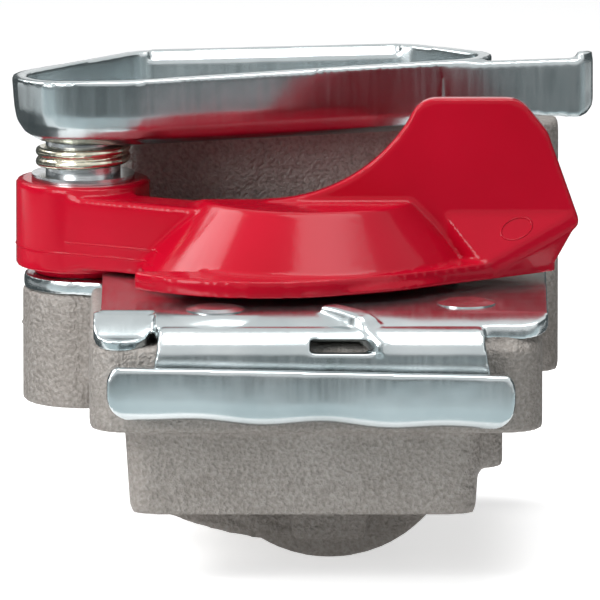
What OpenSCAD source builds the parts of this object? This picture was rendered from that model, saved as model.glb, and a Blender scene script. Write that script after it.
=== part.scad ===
// Palm coupling head for a trailer's air brake hose.
// The origin is the middle of the seal, on the palm face (the flange plate's top face).
// +X is to the right, +Y runs back to the hose port and +Z points out of the palm face.

/* [Seal] */
// Outside radius of the rubber seal
seal_r = 19; // [16:0.5:21]
// Radius of the air hole through the seal
seal_bore_r = 9.5; // [7:0.5:11]
// Depth of the seal's seat below the flange plate
seal_depth = 7; // [5:0.5:9]
// Height of the seal's lip above the palm face
seal_lip = 0.9; // [0.4:0.1:1]

/* [Pressed plates] */
// Thickness of the flange plate's sheet
flange_t = 2.6; // [2:0.1:3]
// Thickness of the claw plate's sheet
claw_t = 2.6; // [2:0.1:3]
// Height of the claw's underside above the palm face
claw_z = 21.8; // [21.4:0.2:25]
// Height of the claw's rim above the palm face, over the seal
rim_z = 35.3; // [34:0.2:38]
// How far the claw's walls lean out between the bend and the rim
claw_flare = 1; // [0.5:0.25:1.5]
// Outside radius of the claw's bottom bend
claw_bend_r = 6; // [4:0.25:6.5]
// Radius of the claw's rounded end round the pin
claw_end_r = 13.3; // [13:0.1:15]
// Distance of the claw's back wall behind the seal
claw_back = 47.5; // [46:0.5:52]
// Distance from the seal to the free end of the claw's arm
arm_end = 52; // [48:0.5:54]
// Distance of the flange's front bend before the seal
flange_front = 48.4; // [46:0.2:52]
// Half the width of the flange's rolled lip
lip_half_w = 36; // [30:0.5:38]
// Depth of the rolled lip's bottom below the palm face
lip_bottom = 18; // [16:0.5:20]
// Height of the rolled lip's free front edge
lip_h = 10.4; // [8:0.2:12]

/* [Pin and spring] */
// Place of the pivot pin to the left of the seal
pin_left = 40.5; // [38:0.5:43]
// Place of the pivot pin behind the seal
pin_back = 16; // [15:0.5:17]
// Radius of the pivot bolt's shank
pin_r = 3; // [2.5:0.1:3.5]
// Outside radius of the bush's sleeve
bush_r = 6.7; // [6:0.1:7.2]
// Outside radius of the bush's flange
bush_flange_r = 9.2; // [8:0.1:10]
// Thickness of the spring's wire
wire_d = 1.8; // [1.2:0.1:1.9]

/* [Dust cover] */
// Radius of the cover's hub
hub_r = 12; // [11:0.1:12.5]
// Height of the hub's top face
hub_top = 14.9; // [14.5:0.1:15.5]
// Radius of the cover's rim
rim_r = 31.5; // [29.5:0.5:33]
// Height of the rim's lower edge above the palm face
rim_low = 1.5; // [1.4:0.1:2.4]
// Height of the rim itself
rim_h = 3; // [2:0.25:4]
// Radius of the cone's foot
cone_r = 28.5; // [26:0.5:28.5]
// Radius of the cone's flat top
cone_top_r = 20; // [18:0.5:22]
// Height of the cone's top
cone_top = 14.6; // [14:0.2:15.2]
// Thickness of the moulded walls
cover_wall = 2.4; // [1.8:0.1:3]
// Height of the thumb fin's top
fin_top = 33.2; // [30:0.5:35]
// Thickness of the thumb fin
fin_t = 3.4; // [2.5:0.1:4]
// Reach of the thumb ledge to the right of the seal
ledge_reach = 47.7; // [44:0.5:50]

/* [Cast body] */
// Width of the body's upper block
block_w = 80; // [76:1:84]
// Depth of the upper block's underside below the palm face
block_bottom = 20.5; // [20:0.5:24]
// Distance of the block's front before the seal
block_front = 45.4; // [44:0.2:45.6]
// Width of the lower block
keel_w = 61; // [56:1:66]
// Depth of the lower block's underside below the palm face
keel_bottom = 36; // [34:0.5:40]
// Distance of the back wall behind the seal
wall_front = 32.5; // [32:0.5:36]
// Thickness of the back wall
wall_t = 11.5; // [9:0.5:13]
// Reach of the back wall to the right of the seal
wall_right = 44.5; // [42:0.5:46]
// Outside radius of the port's barrel
barrel_r = 23.4; // [20:0.2:24]
// Depth of the port's axis below the palm face
port_depth = 25; // [23:0.5:28]
// Distance of the port's mouth behind the seal
port_back = 50; // [46:0.5:56]
// Radius of the tapped port's wall
port_r = 10.2; // [8:0.1:12]
// Length of the tapped wall
port_len = 18; // [14:0.5:22]

/* [Hidden] */
$fn = 96;
hull_fn = 32;

run_clear = 0.05;
part_clear = 0.3;
eps = 0.01;

far = 200;
pin = [-pin_left, pin_back];
palm_z = -flange_t;

// Levels on the pin, from the boss upwards
ear_drop = 2.1;
ear_top = -ear_drop;
ear_low = ear_top - flange_t;
ear_r = 10.6;
ear_turn = 19;
boss_r = 10.8;
boss_bottom = 25.3;
hub_low = -0.7;
hub_foot_r = 9;
hub_foot = ear_top + 0.1;
bush_flange_t = 0.9;
bush_low = ear_top + eps;
bush_top = claw_z - eps;
washer_r = claw_end_r - claw_flare - claw_bend_r - part_clear;
washer_t = 1.6;
claw_floor = claw_z + claw_t;
head_h = 4.5;
head_r = washer_r - part_clear;
bolt_foot = -21;

// Close-coiled spring round the bush, under the claw
spring_coil_r = bush_r + run_clear + wire_d / 2;
spring_turns = 1.65;
spring_start = 155;
coil_pitch = wire_d + run_clear;
spring_high = claw_z - wire_d / 2 - run_clear;
rings_per_turn = 40;
wire_sides = 10;
spring_rings = spring_turns * rings_per_turn;

// Holes and fasteners of the two plates
rivet_at = [[-16.7, -35.5], [27.6, -29]];
rivet_r = 2.5;
rivet_head_r = 5.2;
rivet_head_h = 0.6;
rivet_len = 9;
screw_back = wall_front + 4.2;
screw_at = [[-18, screw_back], [12, screw_back]];
screw_r = 2.5;
screw_head_r = 4;
screw_head_h = 3.5;
screw_len = 13;

// Flange plate: its front bend, rolled lip and tongue
bend_r = 5;
roll_r = 1.3;
plate_right = 42;
plate_left = -37;
plate_back = 26;
ramp_left = -29;
ramp_right = 33;
ramp_draft = 2.6;
lip_slant = 1.5;
lip_lap = 1.6;
lip_inset = 0.1;
lip_corner_r = 5;
joggle_w = 2 * (ear_r - part_clear);
ground_w = joggle_w + 2 * part_clear;
ground_r = hub_r + 1;
joggle_start = 11.2;
joggle_end = joggle_start + 3;
joggle_top = joggle_end - 0.5;
joggle_inset = 0.2;
joggle_tail = joggle_end + 2;
plate_corner_r = 5;
lobe_left = -38.3;
lobe_r = 5;
lobe_back = -36;
lobe_len = 4.5;
lobe_tilt = 13;
lobe_sink = 0.2;
notch_right = -27.4;
lobe_pocket = 5.3;
seal_window_r = seal_r - 1;
tongue_w = 3.8;
tongue_t = 2.4;
tongue_turn = 38;
tongue_top = rim_low - part_clear - tongue_t / 2;
tongue_path = [
    [12.8, -flange_front + 1.6, -3.4],
    [9.4, -flange_front + 5.6, tongue_top - 0.4],
    [3.8, -flange_front + 11, tongue_top]
];
slot_left = 0;
slot_right = 12.4;
slot_high = -1.7;
slot_low = -4.6;
relief_w = 14.5;
relief_back = 5;
relief_depth = 4.7;

// Claw plate: circles that its wall runs round, the tilt of its rim, and its arm
claw_r = 9;
claw_mid_front = 13;
claw_right_front = 20;
claw_right = 33;
claw_crease = -32.5;
claw_left_back = -36.5;
claw_right_back = claw_right - claw_r;
rim_tilt_back = 2;
rim_tilt_side = 1.4;
claw_blank_top = rim_z + 5;
turn_out = 1.7;
turn_left = -29;
turn_right = 16;
turn_lap = 0.3;
wall_in = claw_back - claw_flare / 2 - claw_t;
arm_low = claw_z + 2.4;
arm_heel = claw_z + 4.4;
arm_top = claw_z + 13;
arm_turn = 12;
arm_curl_r = 4;
arm_nub = 1.1;
arm_lap = 0.5;
arm_inset = 0.15;
arm_corner_r = 3.8;
claw_middle = [
    [0, claw_mid_front + claw_r, claw_r],
    [0, claw_back - claw_r, claw_r]
];
claw_stretches = [
    concat(claw_middle, [
        [pin[0], pin[1], claw_end_r],
        [claw_crease, pin[1], claw_end_r],
        [claw_left_back + claw_r, claw_back - claw_r, claw_r]
    ]),
    concat(claw_middle, [
        [claw_right - claw_r, claw_right_front + claw_r, claw_r],
        [claw_right_back - claw_r, claw_back - claw_r, claw_r]
    ])
];

// Cover: rim, arm, fin and ledge
rim_middle = [-8, -1.7];
rim_top = rim_low + rim_h;
rim_start = -31;
rim_end_back = -21.5;
rim_end_right = -10;
skirt_r = cone_r + 1;
cone_lift = 0.15;
cone_lean = (cone_r - cone_top_r) / (cone_top - rim_top);
cone_foot_r = cone_r + cone_lean * (rim_h - cone_lift);
hollow_rise = 3;
cover_arm_turn = 28;
cover_arm_low = 0.45;
cover_arm_top = 13.2;
cover_arm_len = 33;
cover_arm_w = 9;
cover_arm_inset = 0.3;
crown_y = -5;
crown_slope = 12;
fin_front = -8.6;
ledge_low = 9.6;
ledge_top = 12.6;
ledge_tip = [42, -4];
ledge_tip_r = 1.5;
ledge_start = 24;
ledge_sink = 0.2;
ledge_share = 0.55;
ledge_inset = 0.6;
ledge_edge_angle = atan2(ledge_tip[1], ledge_tip[0]) - acos((skirt_r - ledge_tip_r) / norm(ledge_tip));
ledge_edge = [cos(ledge_edge_angle), sin(ledge_edge_angle)];
ledge_edge_left = (skirt_r - ledge_inset) * ledge_edge;
ledge_edge_right = ledge_tip + (ledge_tip_r - ledge_inset) * ledge_edge;
ledge_foot = [
    ledge_edge_left + ledge_share * (ledge_edge_right - ledge_edge_left),
    ledge_edge_right,
    [ledge_tip[0], fin_front + fin_t],
    [ledge_start, fin_front + fin_t]
];
fin_hollow_r = 30;
fin_hollow = [-8.1, cone_top + fin_hollow_r + 0.3];
fin_corner_r = 5;
fin_lap = 0.15;
fin_corner_z = fin_top - fin_corner_r;
fin_corner_drop = fin_hollow[1] - fin_corner_z;
fin_corner_x = fin_hollow[0] + sqrt(pow(fin_hollow_r + fin_corner_r - fin_lap, 2) - pow(fin_corner_drop, 2));
fin_turn_z = fin_hollow[1] - fin_corner_drop * fin_hollow_r / (fin_hollow_r + fin_corner_r);
fin_corners = [
    [fin_corner_x, fin_corner_z, fin_corner_r],
    [34.9, fin_corner_z, fin_corner_r],
    [38.6, fin_top - 8, 4],
    [ledge_reach - ledge_tip_r, ledge_low + ledge_tip_r, ledge_tip_r]
];

// Body: lower forms
block_x = 1;
block_left = block_x - block_w / 2;
block_right = block_x + block_w / 2;
block_back = wall_front + wall_t;
block_corner_r = 6;
shelf_front = flange_front - bend_r;
wall_left = -34;
wall_corner_r = 4;
wall_foot = block_bottom + 3;
keel_x = -1.3;
keel_left = keel_x - keel_w / 2;
keel_right = keel_x + keel_w / 2;
keel_front = 40;
keel_back = 30;
keel_corner_r = 4;
keel_draft = 1;
step_right = 34;
step_front = 36;
step_back = 25;
step_bottom = 28.5;
step_corner_r = 3;
barrel_x = 3.4;
barrel_front = -15;
passage_r = 8.5;
pad_w = 13;
pad_draft = 2;
pad_low = 44;
pad_depth = 7;
web_back = keel_back - 8;
web_len = 30;
web_inset = 2;
web_reach = 8;
web_rise = 4;
core_inset = 5;
core_back = 23;
core_top = 15;

// Rectangle between two corners, with its four corners rounded
module rounded(low, high, r) {
    size = high - low;
    translate(low) {
        translate([r, 0]) square([size[0] - 2 * r, size[1]]);
        translate([0, r]) square([size[0], size[1] - 2 * r]);
        for (x = [r, size[0] - r], y = [r, size[1] - r]) translate([x, y]) circle(r);
    }
}

// Sector of a flat ring, from one angle on through a turn of 180 degrees at most
module arc_band(r_in, r_out, start, turn) {
    reach = 2 * r_out;
    intersection() {
        difference() {
            circle(r_out);
            circle(r_in);
        }
        polygon([
            [0, 0],
            for (k = [0 : 3]) reach * [cos(start + turn * k / 3), sin(start + turn * k / 3)]
        ]);
    }
}

// Children placed on the pin's axis at a height
module on_pin(z) translate([pin[0], pin[1], z]) children();

// Ground that the ear and its joggle take up in the palm plate and the body
module ear_ground() {
    translate(pin) circle(ground_r);
    translate(pin) rotate(-ear_turn) translate([0, -ground_w / 2]) square([joggle_end, ground_w]);
}

// Cast body: upper block, pin boss, back wall, keel, port barrel and the air way through them
module body() color("#96908a") difference() {
    union() {
        block();
        on_pin(-boss_bottom) cylinder(r = boss_r, h = boss_bottom + ear_low);
        translate([0, 0, -wall_foot]) linear_extrude(wall_foot + claw_z)
            rounded([wall_left, wall_front], [wall_right, block_back], wall_corner_r);
        keel();
        translate([0, 0, -step_bottom]) linear_extrude(step_bottom - block_bottom / 2)
            rounded([0, -step_front], [step_right, step_back], step_corner_r);
        translate([barrel_x, barrel_front, -port_depth]) rotate([-90, 0, 0])
            cylinder(r = barrel_r, h = port_back - barrel_front);
        translate([barrel_x, 0, 0]) front_pad();
        side_web();
    }
    translate([0, 0, ear_low]) linear_extrude(ear_drop + flange_t) ear_ground();
    translate([-far / 2, -far, palm_z]) cube([far, far + plate_back + part_clear, ear_drop]);
    translate([slot_left, -shelf_front - 1, -relief_depth]) cube([relief_w, relief_back, relief_depth]);
    translate([-far + notch_right + 1, lobe_back + 1 - far, -lobe_pocket]) cube([far, far, lobe_pocket]);
    translate([0, 0, palm_z - seal_depth]) cylinder(r = seal_r + run_clear, h = seal_depth + 1);
    translate([0, 0, -port_depth]) cylinder(r = passage_r, h = port_depth);
    translate([barrel_x, 0, -port_depth]) rotate([-90, 0, 0]) cylinder(r = passage_r, h = port_back + 1);
    translate([barrel_x, port_back - port_len, -port_depth]) rotate([-90, 0, 0])
        cylinder(r = port_r, h = port_len + 1);
    on_pin(bolt_foot - part_clear) cylinder(r = pin_r + run_clear, h = far);
    for (p = rivet_at) translate([p[0], p[1], palm_z - rivet_len - part_clear])
        cylinder(r = rivet_r + run_clear, h = rivet_len + 1);
    for (p = screw_at) translate([p[0], p[1], claw_z - screw_len - part_clear])
        cylinder(r = screw_r + run_clear, h = screw_len + 1);
    translate([0, 0, -keel_bottom - 1]) linear_extrude(keel_bottom + 1 - core_top) rounded(
        [keel_left + core_inset, -keel_front + core_inset], [keel_right - core_inset, -core_back],
        keel_corner_r
    );
}

// Upper block, stepped back at its top so that the flange plate's bend fits over it
module block() {
    translate([0, 0, -block_bottom]) linear_extrude(block_bottom - bend_r)
        rounded([block_left, -block_front], [block_right, block_back], block_corner_r);
    translate([0, 0, -block_bottom]) linear_extrude(block_bottom + palm_z)
        rounded([block_left, -shelf_front], [block_right, block_back], block_corner_r);
}

// Lower block with drafted sides
module keel() hull() {
    translate([0, 0, -block_bottom]) linear_extrude(1) rounded(
        [keel_left - keel_draft, -keel_front - keel_draft], [keel_right + keel_draft, keel_back + keel_draft],
        keel_corner_r, $fn = hull_fn
    );
    translate([0, 0, -keel_bottom]) linear_extrude(1)
        rounded([keel_left, -keel_front], [keel_right, keel_back], keel_corner_r, $fn = hull_fn);
}

// Flat pad with drafted flanks on the barrel's front, under the keel
module front_pad() translate([0, barrel_front + 1, 0]) rotate([90, 0, 0]) linear_extrude(pad_depth) polygon([
    [-pad_w / 2 - pad_draft, -block_bottom], [pad_w / 2 + pad_draft, -block_bottom],
    [pad_w / 2, -pad_low], [-pad_w / 2, -pad_low]
]);

// Sloping web from the keel's left corner to the barrel
module side_web() translate([0, web_back, 0]) rotate([90, 0, 0]) linear_extrude(web_len) polygon([
    [keel_left + web_inset, -keel_bottom + web_inset],
    [barrel_x - web_reach, -port_depth - barrel_r + web_rise],
    [barrel_x, -keel_bottom + web_inset]
]);

// Drawn bowl over one convex stretch of the claw, with a rounded bottom edge.
// Each stretch runs round a few circles, drawn in by the wall's lean and then by the bend.
module claw_bowl(corners, floor_z, bend, inset, top) hull() {
    for (c = corners) translate([c[0], c[1], top]) cylinder(r = c[2] - inset, h = eps, $fn = hull_fn);
    for (a = [0 : 22.5 : 90], c = corners)
        translate([c[0], c[1], floor_z + bend * (1 - sin(a))])
            cylinder(r = c[2] - inset - claw_flare - bend * (1 - cos(a)), h = eps, $fn = hull_fn);
}

// Claw: drawn sheet tray with a tilted rim, and a flat arm with a curled end
module claw_plate() color("#aab2b8") difference() {
    union() {
        difference() {
            for (side = claw_stretches) claw_bowl(side, claw_z, claw_bend_r, 0, claw_blank_top);
            for (side = claw_stretches)
                claw_bowl(side, claw_floor, claw_bend_r - claw_t, claw_t, claw_blank_top + 1);
            on_rim() translate([-far / 2, -far / 2, 0]) cube(far);
            along_back() polygon([
                [0, -turn_out], [turn_out, 0], [turn_out, 1], [-claw_t, 1], [-claw_t, -turn_out]
            ]);
        }
        along_back() polygon([
            [turn_lap, -turn_out - 1], [turn_out + turn_lap, -turn_lap / 2],
            [turn_out + claw_t, -turn_lap / 2], [claw_t - turn_lap, -turn_out - 1]
        ]);
        claw_arm();
    }
    on_pin(claw_z - 1) cylinder(r = pin_r + part_clear, h = claw_t + 2);
    for (p = screw_at) translate([p[0], p[1], claw_z - 1])
        cylinder(r = screw_r + part_clear, h = claw_t + 2);
}

// Children placed on the claw's tilted rim
module on_rim() translate([0, 0, rim_z]) rotate([-rim_tilt_back, -rim_tilt_side, 0]) children();

// Section across the top of the claw's back wall, run along the stretch that is turned out
module along_back() on_rim() translate([turn_left, wall_in, 0]) rotate([90, 0, 90])
    linear_extrude(turn_right - turn_left) children();

// Arm that runs on from the claw's front wall, with a rounded heel and its end curled up and back
module claw_arm() {
    start = claw_right - claw_r;
    run = arm_end - arm_curl_r - start;
    translate([start, claw_right_front, 0]) rotate(arm_turn) {
        intersection() {
            linear_extrude(arm_top) {
                square([run + arm_lap, claw_t]);
                translate([run, arm_curl_r - arm_inset]) arc_band(arm_curl_r - claw_t, arm_curl_r, -90, 80);
            }
            translate([0, far / 2, 0]) rotate([90, 0, 0]) linear_extrude(far) hull() {
                translate([-1, arm_heel]) square([run, arm_top]);
                translate([run + arm_curl_r - arm_corner_r, arm_low + arm_corner_r])
                    circle(arm_corner_r, $fn = hull_fn);
                translate([run + arm_curl_r, arm_top]) square(1);
            }
        }
        translate([run, arm_curl_r - arm_inset, arm_top - 1]) linear_extrude(arm_nub + 1)
            arc_band(arm_curl_r - claw_t + arm_inset, arm_curl_r - arm_inset, -75, 55);
    }
}

// Section of the flange's front, across the lip: the bend and the ramp
module flange_section() {
    ramp_foot = -lip_bottom + roll_r + flange_t;
    translate([-flange_front + bend_r, -bend_r]) arc_band(bend_r - flange_t, bend_r, 90, 90);
    translate([-flange_front, ramp_foot]) square([flange_t, -bend_r - ramp_foot]);
}

// Bend and ramp in front of the palm plate, narrower at the top
module ramp() intersection() {
    translate([ramp_left, 0, 0]) rotate([90, 0, 90]) linear_extrude(ramp_right - ramp_left) flange_section();
    rotate([90, 0, 0]) linear_extrude(far) polygon([
        [ramp_left + ramp_draft, 1], [ramp_right - ramp_draft, 1],
        [ramp_right + eps, -lip_bottom], [ramp_left - eps, -lip_bottom]
    ]);
}

// Rounded lobe at the plate's left front corner, bent down a little
module lobe() translate([lobe_left + lobe_r, lobe_back, palm_z - lobe_sink]) rotate([lobe_tilt, 0, 0])
    linear_extrude(flange_t) {
        translate([-lobe_r, -lobe_len]) square([2 * lobe_r, lobe_len + 1]);
        translate([0, -lobe_len]) circle(lobe_r);
    }

// Section of the rolled lip, which turns forward and up from the ramp's foot
module lip_section() {
    ramp_foot = -lip_bottom + roll_r + flange_t;
    translate([-flange_front - roll_r, ramp_foot]) arc_band(roll_r, roll_r + flange_t, 180, 180);
    translate([-flange_front - 2 * roll_r - flange_t, ramp_foot])
        square([flange_t, lip_h - roll_r - flange_t]);
    translate([-flange_front + lip_inset, ramp_foot - lip_inset])
        square([flange_t - 2 * lip_inset, lip_lap + lip_inset]);
}

// Palm plate: flat plate, ear with its joggle, front ramp, rolled lip and lanced tongue
module flange_plate() color("#b4bcc2") {
    difference() {
        union() {
            translate([0, 0, palm_z]) linear_extrude(flange_t) difference() {
                rounded([plate_left, -shelf_front], [plate_right, plate_back], plate_corner_r);
                ear_ground();
                translate([notch_right - far, lobe_back - far]) square(far);
            }
            lobe();
            ramp();
            rolled_lip();
            ear();
        }
        translate([0, 0, palm_z - 1]) cylinder(r = seal_window_r, h = flange_t + 2);
        on_pin(ear_low - 1) cylinder(r = pin_r + part_clear, h = flange_t + 2);
        for (p = rivet_at) translate([p[0], p[1], palm_z - 1])
            cylinder(r = rivet_r + run_clear, h = flange_t + 2);
        translate([slot_left, -flange_front - 1, slot_low])
            cube([slot_right - slot_left, flange_t + 2, slot_high - slot_low]);
    }
    tongue();
}

// Rolled lip, wider than its ramp, with rounded ends and a slight slant
module rolled_lip() translate([0, 0, -lip_bottom]) rotate([0, lip_slant, 0]) translate([0, 0, lip_bottom])
    intersection() {
        translate([-lip_half_w, 0, 0]) rotate([90, 0, 90]) linear_extrude(2 * lip_half_w) lip_section();
        rotate([90, 0, 0]) linear_extrude(far)
            rounded([-lip_half_w, -lip_bottom], [lip_half_w, -lip_bottom + lip_h + lip_lap], lip_corner_r);
    }

// Ear round the pin, stepped down from the plate by a sloping joggle
module ear() on_pin(0) rotate(-ear_turn) {
    translate([0, 0, ear_low]) linear_extrude(flange_t) {
        circle(ear_r);
        translate([0, -joggle_w / 2]) square([joggle_start, joggle_w]);
    }
    translate([0, joggle_w / 2 - joggle_inset, 0]) rotate([90, 0, 0])
        linear_extrude(joggle_w - 2 * joggle_inset) polygon([
            [joggle_start - 1, ear_low + joggle_inset], [joggle_start - 1, ear_top - joggle_inset],
            [joggle_start, ear_top - joggle_inset], [joggle_top, -joggle_inset], [joggle_tail, -joggle_inset],
            [joggle_tail, palm_z + joggle_inset], [joggle_top, palm_z + joggle_inset],
            [joggle_start, ear_low + joggle_inset]
        ]);
}

// Lanced tongue, bent up out of its slot towards the cover's rim
module tongue() for (k = [1, 2]) hull() for (p = [tongue_path[k - 1], tongue_path[k]])
    translate(p) rotate(tongue_turn) cube([tongue_w, tongue_t, tongue_t], center = true);

// Rubber seal: foot under the plate and a lip through its window
module seal_ring() color("#1c1c1e") translate([0, 0, palm_z - seal_depth]) rotate_extrude() polygon([
    [seal_bore_r, 0], [seal_r, 0], [seal_r, seal_depth], [seal_window_r - 0.4, seal_depth],
    [seal_window_r - 0.4, seal_depth + flange_t], [seal_window_r - 1.4, seal_depth + flange_t + seal_lip],
    [seal_bore_r + 1.6, seal_depth + flange_t + seal_lip], [seal_bore_r, seal_depth + flange_t - 1]
]);

// Two rivets through the flange plate
module flange_rivets() color("#c4cacf") for (p = rivet_at) translate([p[0], p[1], 0])
    rotate_extrude() polygon([
        [0, palm_z - rivet_len], [rivet_r, palm_z - rivet_len], [rivet_r, 0], [rivet_head_r, 0],
        [rivet_head_r, rivet_head_h * 0.4], [rivet_head_r * 0.7, rivet_head_h], [0, rivet_head_h]
    ]);

// Two hexagon screws that hold the claw on the back wall
module claw_screws() color("#b9bec2") for (p = screw_at) translate([p[0], p[1], 0]) {
    translate([0, 0, claw_z - screw_len]) cylinder(r = screw_r, h = screw_len + claw_t);
    translate([0, 0, claw_floor]) cylinder(r = screw_head_r, h = screw_head_h, $fn = 6);
}

// Hexagon bolt that carries the cover
module pivot_bolt() color("#b9bec2") {
    on_pin(bolt_foot) cylinder(r = pin_r, h = claw_floor + washer_t - bolt_foot);
    on_pin(claw_floor + washer_t) cylinder(r = head_r, h = head_h, $fn = 6);
}

// Washer between the bolt's head and the claw's floor
module pivot_washer() color("#b9bec2") on_pin(claw_floor) difference() {
    cylinder(r = washer_r, h = washer_t);
    translate([0, 0, -1]) cylinder(r = pin_r + part_clear, h = washer_t + 2);
}

// Flanged sleeve between the ear and the claw, which the cover turns on
module cover_bush() color("#c9ccce") difference() {
    union() {
        on_pin(bush_low) cylinder(r = bush_r, h = bush_top - bush_low);
        on_pin(hub_top + run_clear) cylinder(r = bush_flange_r, h = bush_flange_t);
    }
    on_pin(bush_low - 1) cylinder(r = pin_r + run_clear, h = bush_top - bush_low + 2);
}

// Round-wire closing spring, close coiled round the bush under the claw
module cover_spring() color("#cfc9a6") on_pin(0) polyhedron(
    [for (i = [0 : spring_rings], k = [0 : wire_sides - 1])
        let (t = i / rings_per_turn, a = spring_start + 360 * t, b = 360 * k / wire_sides)
        let (r = spring_coil_r + wire_d / 2 * cos(b))
        [r * cos(a), r * sin(a), spring_high - (spring_turns - t) * coil_pitch + wire_d / 2 * sin(b)]],
    concat(
        [[for (k = [0 : wire_sides - 1]) k]],
        [for (i = [0 : spring_rings - 1], k = [0 : wire_sides - 1])
            let (n = (k + 1) % wire_sides, a = i * wire_sides, b = a + wire_sides)
            [a + k, b + k, b + n, a + n]],
        [[for (k = [wire_sides - 1 : -1 : 0]) spring_rings * wire_sides + k]]
    )
);

// Plan of the lid: its rim, the cone's skirt and the thumb ledge in one outline
module cover_plan() hull() {
    translate(rim_middle) circle(rim_r, $fn = 2 * hull_fn);
    circle(skirt_r, $fn = 2 * hull_fn);
    translate(ledge_tip) circle(ledge_tip_r, $fn = hull_fn);
}

// Dust cover: hub with its arm, rim, cone, thumb ledge and fin in one moulding
module cover() color("#c80c28") difference() {
    union() {
        on_pin(hub_low) cylinder(r = hub_r, h = hub_top - hub_low);
        on_pin(hub_foot) cylinder(r = hub_foot_r, h = hub_top / 2 - hub_foot);
        on_pin(cover_arm_low) rotate(-cover_arm_turn) translate([0, -hub_r + cover_arm_inset, 0])
            cube([cover_arm_len, cover_arm_w, cover_arm_top - cover_arm_low]);
        translate([0, 0, rim_low]) linear_extrude(rim_h) difference() {
            intersection() {
                cover_plan();
                translate([rim_start, -far / 2]) square(far);
            }
            translate([rim_end_right - far, rim_end_back]) square(far);
        }
        difference() {
            translate([0, 0, rim_low + cone_lift])
                cylinder(r1 = cone_foot_r, r2 = cone_top_r, h = cone_top - rim_low - cone_lift);
            translate([-far / 2, crown_y, cone_top]) rotate([-crown_slope, 0, 0]) cube(far);
        }
        fin();
        ledge();
    }
    lid_hollow();
    on_pin(-far / 2) cylinder(r = bush_r + run_clear, h = far);
}

// Hollow under the lid, open to the palm face
module lid_hollow() {
    translate([0, 0, -eps]) cylinder(r = cone_r - cover_wall, h = rim_top + eps);
    translate([0, 0, rim_top])
        cylinder(r1 = cone_r - cover_wall, r2 = cone_top_r - cover_wall, h = hollow_rise);
}

// Upright thumb fin with a hollow left flank
module fin() translate([0, fin_front + fin_t, 0]) rotate([90, 0, 0]) linear_extrude(fin_t) {
    difference() {
        hull() {
            translate([fin_hollow[0], ledge_low]) square([1, cone_top - ledge_low]);
            for (c = fin_corners) translate([c[0], c[1]]) circle(c[2], $fn = hull_fn);
        }
        translate(fin_hollow) circle(fin_hollow_r);
        translate([fin_corner_x - far, fin_turn_z]) square(far);
    }
    translate([fin_corner_x, fin_corner_z]) circle(fin_corner_r, $fn = hull_fn);
}

// Sloping ledge from the fin's foot down to the rim's front edge
module ledge() hull() {
    translate([ledge_start, fin_front, ledge_low])
        cube([ledge_reach - ledge_start - 1, fin_t, ledge_top - ledge_low]);
    for (p = ledge_foot) translate([p[0], p[1], rim_low + ledge_sink])
        cylinder(r = ledge_sink, h = rim_h - 2 * ledge_sink, $fn = hull_fn);
}

body();
claw_plate();
flange_plate();
seal_ring();
flange_rivets();
claw_screws();
pivot_bolt();
pivot_washer();
cover_bush();
cover_spring();
cover();
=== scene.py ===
import math

import bmesh
import bpy
from mathutils import Matrix, Vector


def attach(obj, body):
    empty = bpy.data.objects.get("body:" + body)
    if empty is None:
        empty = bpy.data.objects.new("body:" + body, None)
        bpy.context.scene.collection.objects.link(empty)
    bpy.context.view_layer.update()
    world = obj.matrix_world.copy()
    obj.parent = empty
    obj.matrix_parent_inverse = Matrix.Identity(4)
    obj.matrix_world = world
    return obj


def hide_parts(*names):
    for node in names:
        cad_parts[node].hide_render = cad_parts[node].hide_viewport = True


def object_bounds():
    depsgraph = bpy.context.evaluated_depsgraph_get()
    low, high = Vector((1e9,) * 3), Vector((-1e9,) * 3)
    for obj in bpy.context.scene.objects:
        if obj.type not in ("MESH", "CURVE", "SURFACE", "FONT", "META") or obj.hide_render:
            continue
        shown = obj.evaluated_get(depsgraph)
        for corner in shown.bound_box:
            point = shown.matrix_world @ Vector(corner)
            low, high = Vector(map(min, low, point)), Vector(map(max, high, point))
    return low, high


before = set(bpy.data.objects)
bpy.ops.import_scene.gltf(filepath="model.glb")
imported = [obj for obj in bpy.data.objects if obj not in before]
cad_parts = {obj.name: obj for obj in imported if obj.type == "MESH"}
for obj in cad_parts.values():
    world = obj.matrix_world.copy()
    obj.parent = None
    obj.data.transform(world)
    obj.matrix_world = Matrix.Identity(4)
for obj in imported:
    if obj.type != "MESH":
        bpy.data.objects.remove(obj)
cad_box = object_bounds()
scene = bpy.context.scene
scene.view_settings.view_transform = "Standard"

# Camera and light: the head is seen from its front lip, about ten degrees from above and almost
# without perspective, on a pale sheet. The soft studio lamps all point at the palm face's middle.
view_rise = math.radians(10.0)
view_middle = Vector((-0.0018, 0.0, -0.0045))
frame_width = 0.1068
camera_data = bpy.data.cameras.new("camera")
camera_data.lens = 1500.0
camera_data.sensor_width = 36.0
camera_data.clip_end = 20.0
view_distance = frame_width * camera_data.lens / camera_data.sensor_width
camera = bpy.data.objects.new("camera", camera_data)
scene.collection.objects.link(camera)
towards_viewer = Vector((0.0, -math.cos(view_rise), math.sin(view_rise)))
camera.location = view_middle + towards_viewer * view_distance
camera.rotation_euler = (math.radians(90.0) - view_rise, 0.0, 0.0)
scene.camera = camera


def soft_lamp(name, place, size, power):
    data = bpy.data.lights.new(name, "AREA")
    data.shape = "RECTANGLE"
    data.size, data.size_y = size
    data.energy = power
    lamp = bpy.data.objects.new(name, data)
    lamp.location = place
    lamp.rotation_mode = "QUATERNION"
    lamp.rotation_quaternion = Vector(place).to_track_quat("Z", "Y")
    scene.collection.objects.link(lamp)


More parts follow.
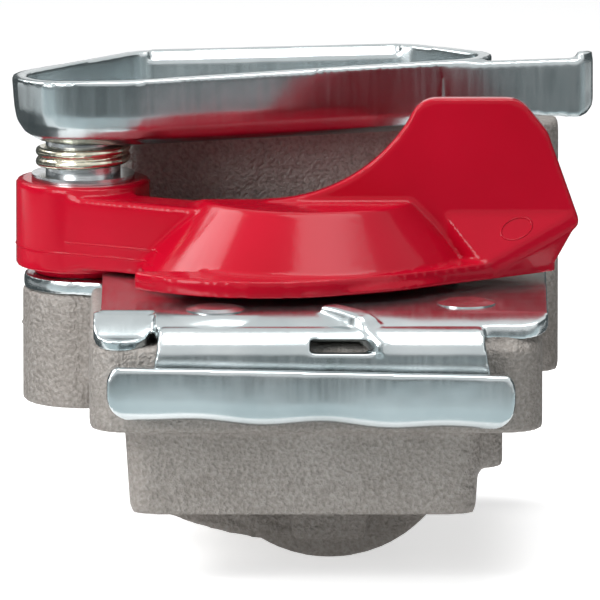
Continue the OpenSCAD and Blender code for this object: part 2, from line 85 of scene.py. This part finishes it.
soft_lamp("overhead", place=(0.07, -0.08, 0.62), size=(0.44, 0.40), power=2.9)
soft_lamp("left_high", place=(-0.448, 0.182, 0.42), size=(0.26, 0.26), power=1.3)
soft_lamp("left_front", place=(-0.242, -0.209, 0.143), size=(0.14, 0.22), power=0.86)
soft_lamp("right_front", place=(0.50, -0.36, 0.42), size=(0.20, 0.40), power=0.2)


def seen_rays(nodes, links):
    rays = nodes.new("ShaderNodeLightPath")
    either = nodes.new("ShaderNodeMath")
    either.operation = "MAXIMUM"
    links.new(rays.outputs["Is Camera Ray"], either.inputs[0])
    links.new(rays.outputs["Is Glossy Ray"], either.inputs[1])
    seen = nodes.new("ShaderNodeMath")
    seen.operation = "MAXIMUM"
    links.new(either.outputs["Value"], seen.inputs[0])
    links.new(rays.outputs["Is Transmission Ray"], seen.inputs[1])
    return seen.outputs["Value"]


world = bpy.data.worlds.new("studio")
world.use_nodes = True
scene.world = world
world_nodes = world.node_tree.nodes
world_links = world.node_tree.links
world_nodes.clear()
world_out = world_nodes.new("ShaderNodeOutputWorld")
world_mix = world_nodes.new("ShaderNodeMixShader")
room = world_nodes.new("ShaderNodeBackground")
room.inputs["Color"].default_value = (0.84, 0.86, 0.88, 1.0)
room.inputs["Strength"].default_value = 0.14
sheet = world_nodes.new("ShaderNodeBackground")
sheet.inputs["Color"].default_value = (1.0, 1.0, 1.0, 1.0)
sheet.inputs["Strength"].default_value = 1.0
world_links.new(seen_rays(world_nodes, world_links), world_mix.inputs["Fac"])
world_links.new(room.outputs["Background"], world_mix.inputs[1])
world_links.new(sheet.outputs["Background"], world_mix.inputs[2])
world_links.new(world_mix.outputs["Shader"], world_out.inputs["Surface"])

# Floor: a plain pale sheet just under the head, lit by the same lamps.
# It glows a little to the viewer and to mirrors, so that it runs into the white behind it.
half_unit = 0.5
flat = (0.0, 0.0, 0.0)
floor_size = (6.0, 6.0)
floor_gap = 0.0004


def flat_sheet(name, size, place, tilt):
    mesh = bpy.data.meshes.new(name)
    work = bmesh.new()
    bmesh.ops.create_grid(work, x_segments=1, y_segments=1, size=half_unit)
    bmesh.ops.scale(work, verts=work.verts, vec=(size[0], size[1], 1.0))
    work.to_mesh(mesh)
    work.free()
    piece = bpy.data.objects.new(name, mesh)
    piece.location = place
    piece.rotation_euler = tilt
    scene.collection.objects.link(piece)
    return piece


floor = flat_sheet("floor", floor_size, (0.0, 0.0, cad_box[0][2] - floor_gap), flat)
floor_paint = bpy.data.materials.new("floor_paint")
floor_paint.use_nodes = True
floor_nodes = floor_paint.node_tree.nodes
floor_links = floor_paint.node_tree.links
floor_base = floor_nodes["Principled BSDF"]
floor_base.inputs["Base Color"].default_value = (0.92, 0.92, 0.92, 1.0)
floor_base.inputs["Roughness"].default_value = 0.9
floor_base.inputs["Specular IOR Level"].default_value = 0.1
floor_glow = floor_nodes.new("ShaderNodeEmission")
floor_glow.inputs["Strength"].default_value = 0.60
floor_add = floor_nodes.new("ShaderNodeAddShader")
floor_seen = floor_nodes.new("ShaderNodeMixShader")
floor_links.new(floor_base.outputs["BSDF"], floor_add.inputs[0])
floor_links.new(floor_glow.outputs["Emission"], floor_add.inputs[1])
floor_links.new(seen_rays(floor_nodes, floor_links), floor_seen.inputs["Fac"])
floor_links.new(floor_base.outputs["BSDF"], floor_seen.inputs[1])
floor_links.new(floor_add.outputs["Shader"], floor_seen.inputs[2])
floor_links.new(floor_seen.outputs["Shader"], floor_nodes["Material Output"].inputs["Surface"])
floor.data.materials.append(floor_paint)

# Flags: grey cards round the head, which only mirrors see, so that the bright plating has darker
# bands in it as it has in a studio.
facing_side = (math.radians(90.0), 0.0, math.radians(90.0))
facing_front = (math.radians(90.0), 0.0, 0.0)


def flag(name, size, place, tilt, grey):
    paint = bpy.data.materials.new(name)
    paint.use_nodes = True
    nodes = paint.node_tree.nodes
    links = paint.node_tree.links
    nodes.clear()
    out = nodes.new("ShaderNodeOutputMaterial")
    mix = nodes.new("ShaderNodeMixShader")
    rays = nodes.new("ShaderNodeLightPath")
    clear = nodes.new("ShaderNodeBsdfTransparent")
    card = nodes.new("ShaderNodeEmission")
    card.inputs["Color"].default_value = (0.80, 0.92, 0.95, 1.0)
    card.inputs["Strength"].default_value = grey
    links.new(rays.outputs["Is Glossy Ray"], mix.inputs["Fac"])
    links.new(clear.outputs["BSDF"], mix.inputs[1])
    links.new(card.outputs["Emission"], mix.inputs[2])
    links.new(mix.outputs["Shader"], out.inputs["Surface"])
    flat_sheet(name, size, place, tilt).data.materials.append(paint)


flag("front_flag", size=(1.4, 0.66), place=(0.0, -0.424, -0.018), tilt=flat, grey=0.16)
flag("low_flag", size=(1.4, 0.69), place=(0.0, -0.405, -0.046), tilt=flat, grey=1.0)
flag("left_flag", size=(0.30, 0.30), place=(-0.40, 0.05, 0.05), tilt=facing_side, grey=0.13)
flag("right_flag", size=(0.60, 0.50), place=(0.50, 0.10, 0.10), tilt=facing_side, grey=0.13)
back_card = {"size": (0.64, 0.22), "tilt": facing_front, "grey": 0.10}
flag("back_left_flag", place=(-0.38, 0.30, 0.05), **back_card)
flag("back_right_flag", place=(0.38, 0.30, 0.05), **back_card)
ground_card = {"size": (0.24, 0.34), "tilt": flat, "grey": 0.12}
flag("ground_left_flag", place=(-0.20, 0.13, -0.0475), **ground_card)
flag("ground_right_flag", place=(0.20, 0.13, -0.0475), **ground_card)

# Body: the head's aluminium casting, with the grainy skin of its sand mould.
# Its edges are eased as castings are, its mould line stands proud on the pin's boss, and it
# carries every other piece.
weld_gap = 2e-6
same_place = 1e-7
on_level = 1e-6
middle_stop = 0.5
dark_stop = 0.3
light_stop = 0.7


def eased_copy(name, node, voxel, rounds):
    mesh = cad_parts[node].data.copy()
    mesh.materials.clear()
    work = bmesh.new()
    work.from_mesh(mesh)
    bmesh.ops.remove_doubles(work, verts=work.verts, dist=weld_gap)
    work.to_mesh(mesh)
    work.free()
    return eased_solid(bpy.data.objects.new(name, mesh), voxel, rounds)


def eased_solid(piece, voxel, rounds):
    scene.collection.objects.link(piece)
    remesh = piece.modifiers.new("even_skin", "REMESH")
    remesh.mode = "VOXEL"
    remesh.voxel_size = voxel
    ease = piece.modifiers.new("eased_edges", "SMOOTH")
    ease.factor = 0.5
    ease.iterations = rounds
    bpy.context.view_layer.update()
    settled = piece.evaluated_get(bpy.context.evaluated_depsgraph_get())
    piece.data = bpy.data.meshes.new_from_object(settled)
    piece.data.name = piece.name
    piece.modifiers.clear()
    for face in piece.data.polygons:
        face.use_smooth = True
    return piece


def finish_nodes(name):
    material = bpy.data.materials.new(name)
    material.use_nodes = True
    nodes = material.node_tree.nodes
    links = material.node_tree.links
    place = nodes.new("ShaderNodeTexCoord").outputs["Object"]
    return material, nodes, links, nodes["Principled BSDF"], place


def speckle(nodes, links, place, scale, detail, stretch=(1.0, 1.0, 1.0)):
    turn = nodes.new("ShaderNodeMapping")
    turn.inputs["Scale"].default_value = stretch
    links.new(place, turn.inputs["Vector"])
    noise = nodes.new("ShaderNodeTexNoise")
    noise.inputs["Scale"].default_value = scale
    noise.inputs["Detail"].default_value = detail
    links.new(turn.outputs["Vector"], noise.inputs["Vector"])
    return noise.outputs["Fac"]


def ramp(nodes, links, value, stops):
    blend = nodes.new("ShaderNodeValToRGB")
    elements = blend.color_ramp.elements
    while len(elements) < len(stops):
        elements.new(middle_stop)
    for element, (at, colour) in zip(elements, stops):
        element.position = at
        element.color = (*colour, 1.0)
    links.new(value, blend.inputs["Fac"])
    return blend.outputs["Color"]


def two_tone(nodes, links, value, dark, light):
    return ramp(nodes, links, value, [(dark_stop, dark), (light_stop, light)])


def bump(nodes, links, height, strength, distance, under=None):
    relief = nodes.new("ShaderNodeBump")
    relief.inputs["Strength"].default_value = strength
    relief.inputs["Distance"].default_value = distance
    links.new(height, relief.inputs["Height"])
    if under is not None:
        links.new(under, relief.inputs["Normal"])
    return relief.outputs["Normal"]


def raised_seam(piece, level, half_width, height, reach, clear_of_pin):
    work = bmesh.new()
    work.from_mesh(piece.data)
    for cut in (level - half_width, level, level + half_width):
        bmesh.ops.bisect_plane(
            work, geom=work.verts[:] + work.edges[:] + work.faces[:], dist=same_place,
            plane_co=(0.0, 0.0, cut), plane_no=(0.0, 0.0, 1.0),
        )
    work.normal_update()
    for vert in work.verts:
        outside = (vert.co.xy - pin_axis).length > clear_of_pin
        if abs(vert.co.z - level) < on_level and reach[0] < vert.co.x < reach[1] and outside:
            vert.co += vert.normal * height
    work.to_mesh(piece.data)
    work.free()


cast_voxel = 0.0008
cast_rounds = 3
pin_axis = Vector((-0.0405, 0.016))
body = eased_copy("body_casting", "body", cast_voxel, cast_rounds)
raised_seam(
    body, level=-0.0112, half_width=0.00035, height=0.00022, reach=(-0.06, -0.029),
    clear_of_pin=0.006,
)

# The bore's wall steps back behind its mouth, to leave room for the thread.
port_axis = Vector((0.0034, 0.0, -0.025))
bore_skin = 0.01075
thread_root = 0.01105
thread_start = 0.0335
body_work = bmesh.new()
body_work.from_mesh(body.data)
for vert in body_work.verts:
    out = vert.co - port_axis
    depth = out.y
    out.y = 0.0
    if out.length < bore_skin and depth > thread_start:
        vert.co = port_axis + Vector((0.0, depth, 0.0)) + out.normalized() * thread_root
body_work.to_mesh(body.data)
body_work.free()

cast, nodes, links, shader, place = finish_nodes("cast_aluminium")
patches = speckle(nodes, links, place, scale=45.0, detail=4.0)
sand = speckle(nodes, links, place, scale=1500.0, detail=3.0)
lumps = speckle(nodes, links, place, scale=600.0, detail=2.0)
patch_share = 0.5
blend = nodes.new("ShaderNodeMath")
blend.operation = "MULTIPLY_ADD"
blend.inputs[1].default_value = patch_share
links.new(patches, blend.inputs[0])
links.new(sand, blend.inputs[2])
skin_stops = [
    (0.56, (0.235, 0.214, 0.193)),
    (0.75, (0.306, 0.282, 0.259)),
    (0.94, (0.386, 0.362, 0.338)),
]
skin = ramp(nodes, links, blend.outputs["Value"], skin_stops)
links.new(skin, shader.inputs["Base Color"])
shader.inputs["Metallic"].default_value = 0.35
rough = two_tone(nodes, links, sand, dark=(0.48, 0.48, 0.48), light=(0.66, 0.66, 0.66))
links.new(rough, shader.inputs["Roughness"])
coarse = bump(nodes, links, lumps, strength=0.7, distance=0.0006)
fine = bump(nodes, links, sand, strength=0.9, distance=0.0005, under=coarse)
links.new(fine, shader.inputs["Normal"])
body.data.materials.append(cast)
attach(body, "body")
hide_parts("body")

# Port thread: the screw thread cut into the port's bore for the hose's fitting.
# It is bare machined aluminium, one flat-crested ridge that winds along the bore's wall.
thread_bite = 0.0002
thread_base = thread_root + thread_bite
thread_crest = 0.01025
thread_pitch = 0.0015
thread_turns = 10
steps_per_turn = 40
crest_from = 0.30 * thread_pitch
crest_to = 0.56 * thread_pitch
ridge_to = 0.86 * thread_pitch
ridge_outline = [
    (thread_base, 0.0),
    (thread_crest, crest_from),
    (thread_crest, crest_to),
    (thread_base, ridge_to),
]
thread_mesh = bpy.data.meshes.new("port_thread")
work = bmesh.new()
corners = [
    work.verts.new(port_axis + Vector((across, thread_start + along, 0.0)))
    for across, along in ridge_outline
]
ridge = [work.edges.new((corners[k - 1], corners[k])) for k in range(len(corners))]
bmesh.ops.spin(
    work, geom=corners + ridge, cent=port_axis, axis=(0.0, 1.0, 0.0),
    dvec=(0.0, thread_pitch / steps_per_turn, 0.0), angle=math.tau * thread_turns,
    steps=thread_turns * steps_per_turn, use_merge=False,
)
bmesh.ops.remove_doubles(work, verts=work.verts, dist=same_place)
open_ends = [edge for edge in work.edges if edge.is_boundary]
bmesh.ops.holes_fill(work, edges=open_ends, sides=len(corners))
bmesh.ops.recalc_face_normals(work, faces=work.faces)
work.to_mesh(thread_mesh)
work.free()
thread = bpy.data.objects.new("port_thread", thread_mesh)
scene.collection.objects.link(thread)
cut_metal, nodes, links, shader, place = finish_nodes("cut_aluminium")
turning = speckle(nodes, links, place, scale=900.0, detail=2.0, stretch=(1.0, 5.0, 1.0))
tone = two_tone(nodes, links, turning, dark=(0.36, 0.35, 0.34), light=(0.47, 0.46, 0.45))
links.new(tone, shader.inputs["Base Color"])
shader.inputs["Metallic"].default_value = 1.0
shader.inputs["Roughness"].default_value = 0.32
thread.data.materials.append(cut_metal)
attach(thread, "body")

# Keel rib: the rib under the keel's left corner, which runs down to the port's barrel.
# It is cast in one with the body, and deeper in front than the body's own web.
rib_front = -0.0144
rib_length = 0.035
rib_edge = [
    (-0.0296, -0.0350),
    (-0.0272, -0.0398),
    (-0.0215, -0.0422),
    (-0.0150, -0.0440),
    (-0.0080, -0.0453),
    (0.0, -0.0400),
    (0.0, -0.0350),
]
rib_mesh = bpy.data.meshes.new("keel_rib")
work = bmesh.new()
rib_face = work.faces.new([work.verts.new((x, rib_front, z)) for x, z in rib_edge])
pulled = bmesh.ops.extrude_face_region(work, geom=[rib_face])["geom"]
back_verts = [part for part in pulled if isinstance(part, bmesh.types.BMVert)]
bmesh.ops.translate(work, verts=back_verts, vec=(0.0, rib_length, 0.0))
bmesh.ops.recalc_face_normals(work, faces=work.faces)
work.to_mesh(rib_mesh)
work.free()
rib = eased_solid(bpy.data.objects.new("keel_rib", rib_mesh), cast_voxel, cast_rounds)
rib.data.materials.append(cast)
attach(rib, "body")

# Claw and flange: pressed from sheet steel and bright zinc plated.
# The drawing die leaves fine streaks across the turned-up walls and the rolled lip. The flange's
# front edge rolls down into the lip, which is slightly wavy, and stays flat round its left rivet.
plating, nodes, links, shader, place = finish_nodes("zinc_plate")
cloud = speckle(nodes, links, place, scale=60.0, detail=3.0)
streaks = speckle(nodes, links, place, scale=120.0, detail=3.0, stretch=(9.0, 1.0, 0.6))
waves = speckle(nodes, links, place, scale=130.0, detail=1.0)
zinc = two_tone(nodes, links, cloud, dark=(0.43, 0.48, 0.49), light=(0.58, 0.62, 0.63))
links.new(zinc, shader.inputs["Base Color"])
shader.inputs["Metallic"].default_value = 1.0
rough = two_tone(nodes, links, streaks, dark=(0.21, 0.21, 0.21), light=(0.27, 0.27, 0.27))
links.new(rough, shader.inputs["Roughness"])
wavy = bump(nodes, links, waves, strength=0.22, distance=0.0006)
drawn = bump(nodes, links, streaks, strength=0.015, distance=0.0003, under=wavy)
links.new(drawn, shader.inputs["Normal"])
sheet_voxel = 0.00042
sheet_rounds = 6
roll_start = -0.0362
roll_end = -0.0434
roll_drop = 0.0016
ramp_top = -0.002
ramp_foot = -0.010
tongue_free = 0.0012
rivet_place = Vector((-0.0167, -0.0355))
pad_flat = 0.0056
pad_out = 0.0088
lip_top = -0.0078
lip_height = 0.010
lip_reach = 0.036
lip_back = -0.0490
lip_front = -0.0508
wave_length = 0.0235
wave_middle = 0.0025
wave_rise = 0.00045
sway_length = 0.046
sway_middle = -0.002
sway_depth = 0.0003


def share(value, start, end):
    return min(max((value - start) / (end - start), 0.0), 1.0)


def worked_sheet(piece):
    for vert in piece.data.vertices:
        x, y, z = vert.co
        held = 1.0 - share(z, 0.0, tongue_free) if z > 0.0 else share(z, ramp_foot, ramp_top)
        pad = share((Vector((x, y)) - rivet_place).length, pad_flat, pad_out)
        vert.co.z -= roll_drop * share(y, roll_start, roll_end) ** 2 * held * pad
        fade = 1.0 - share(abs(x), 0.0, lip_reach) ** 2
        wave = math.cos(math.tau * (x - wave_middle) / wave_length) * fade
        low = share(z, lip_top, lip_top - lip_height)
        vert.co.z += wave_rise * wave * share(y, roll_end, lip_back) * low
        sway = 0.5 + 0.5 * math.cos(math.tau * (x - sway_middle) / sway_length)
        high = share(z, lip_top - lip_height, lip_top)
        vert.co.y += sway_depth * sway * high * share(y, lip_back, lip_front)


for name, node in (("claw_pressing", "claw_plate"), ("flange_pressing", "flange_plate")):
    plate = eased_copy(name, node, sheet_voxel, sheet_rounds)
    if node == "flange_plate":
        worked_sheet(plate)
    plate.data.materials.append(plating)
    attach(plate, "body")
    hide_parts(node)

# Seal: the moulded black rubber ring that seals against the mating head.
# It is pressed into its seat in the palm face, and hidden while the cover is shut.
rubber, nodes, links, shader, place = finish_nodes("black_rubber")
bloom = speckle(nodes, links, place, scale=300.0, detail=3.0)
tone = two_tone(nodes, links, bloom, dark=(0.012, 0.012, 0.013), light=(0.03, 0.03, 0.032))
links.new(tone, shader.inputs["Base Color"])
shader.inputs["Roughness"].default_value = 0.7
links.new(bump(nodes, links, bloom, strength=0.2, distance=0.0002), shader.inputs["Normal"])
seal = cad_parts["seal_ring"]
seal.data.materials.clear()
seal.data.materials.append(rubber)

# Fasteners: the pin's bolt and washer, the claw's screws, the flange's rivets and the cover's bush.
# They are zinc-plated steel, headed or turned, and keep the shapes that the CAD gives them.
bright, nodes, links, shader, place = finish_nodes("fastener_steel")
brush = speckle(nodes, links, place, scale=500.0, detail=2.0, stretch=(1.0, 1.0, 6.0))
tone = two_tone(nodes, links, brush, dark=(0.48, 0.50, 0.51), light=(0.66, 0.68, 0.69))
links.new(tone, shader.inputs["Base Color"])
shader.inputs["Metallic"].default_value = 1.0
shader.inputs["Roughness"].default_value = 0.24
for node in ("flange_rivets", "claw_screws", "pivot_bolt", "pivot_washer", "cover_bush"):
    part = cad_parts[node]
    part.data.materials.clear()
    part.data.materials.append(bright)

# Spring: the cover's closing spring, close coiled from round steel wire with a pale passivated skin.
# It sits round the bush, between the cover's hub and the claw.
wire, nodes, links, shader, place = finish_nodes("spring_wire")
wire_grain = speckle(nodes, links, place, scale=700.0, detail=2.0)
tone = two_tone(nodes, links, wire_grain, dark=(0.55, 0.51, 0.39), light=(0.73, 0.70, 0.58))
links.new(tone, shader.inputs["Base Color"])
shader.inputs["Metallic"].default_value = 1.0
shader.inputs["Roughness"].default_value = 0.22
spring_voxel = 0.00022
spring_rounds = 4
spring = eased_copy("spring_coils", "cover_spring", spring_voxel, spring_rounds)
spring.data.materials.append(wire)
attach(spring, "body")
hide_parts("cover_spring")

# Cover: the dust cover, moulded in glossy red plastic with its hub, arm and thumb fin in one piece.
# It turns on the bush, and two fine mould lines run round its hub.
red, nodes, links, shader, place = finish_nodes("red_plastic")
tint = speckle(nodes, links, place, scale=35.0, detail=3.0)
peel = speckle(nodes, links, place, scale=900.0, detail=2.0)
tone = two_tone(nodes, links, tint, dark=(0.43, 0.002, 0.015), light=(0.50, 0.003, 0.021))
links.new(tone, shader.inputs["Base Color"])
shader.inputs["Roughness"].default_value = 0.14
shader.inputs["Specular IOR Level"].default_value = 0.20
links.new(bump(nodes, links, peel, strength=0.06, distance=0.0002), shader.inputs["Normal"])
cover_voxel = 0.0005
cover_rounds = 5
hub_lines = [
    (0.0032, (-0.056, -0.0275)),
    (0.0052, (-0.0436, -0.0267)),
]
cover = eased_copy("cover_moulding", "cover", cover_voxel, cover_rounds)
for level, reach in hub_lines:
    raised_seam(
        cover, level, half_width=0.00016, height=0.00014, reach=reach, clear_of_pin=0.010,
    )
cover.data.materials.append(red)
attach(cover, "cover")
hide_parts("cover")

# Ledge oval: a plain raised oval line on the thumb ledge's sloping face.
# It is moulded in one with the cover, in the same red plastic.
oval_middle = (0.0366, -0.00996, 0.0101)
oval_half = (0.0029, 0.0019)
oval_line = 0.00022
oval_lean = math.radians(25.0)
ledge_slope = math.radians(61.5)
line_sides = 10
oval_steps = 48
oval_mesh = bpy.data.meshes.new("ledge_oval")
work = bmesh.new()
bmesh.ops.create_circle(work, segments=line_sides, radius=oval_line)
bmesh.ops.rotate(work, verts=work.verts, matrix=Matrix.Rotation(math.pi / 2, 3, "X"))
bmesh.ops.translate(work, verts=work.verts, vec=(oval_half[0], 0.0, 0.0))
bmesh.ops.spin(
    work, geom=work.verts[:] + work.edges[:], axis=(0.0, 0.0, 1.0), angle=math.tau,
    steps=oval_steps, use_merge=True,
)
bmesh.ops.scale(work, verts=work.verts, vec=(1.0, oval_half[1] / oval_half[0], 1.0))
bmesh.ops.recalc_face_normals(work, faces=work.faces)
bmesh.ops.rotate(work, verts=work.verts, matrix=Matrix.Rotation(oval_lean, 3, "Z"))
bmesh.ops.rotate(work, verts=work.verts, matrix=Matrix.Rotation(ledge_slope, 3, "X"))
bmesh.ops.translate(work, verts=work.verts, vec=oval_middle)
work.to_mesh(oval_mesh)
work.free()
oval = bpy.data.objects.new("ledge_oval", oval_mesh)
scene.collection.objects.link(oval)
for face in oval.data.polygons:
    face.use_smooth = True
oval.data.materials.append(red)
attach(oval, "cover")
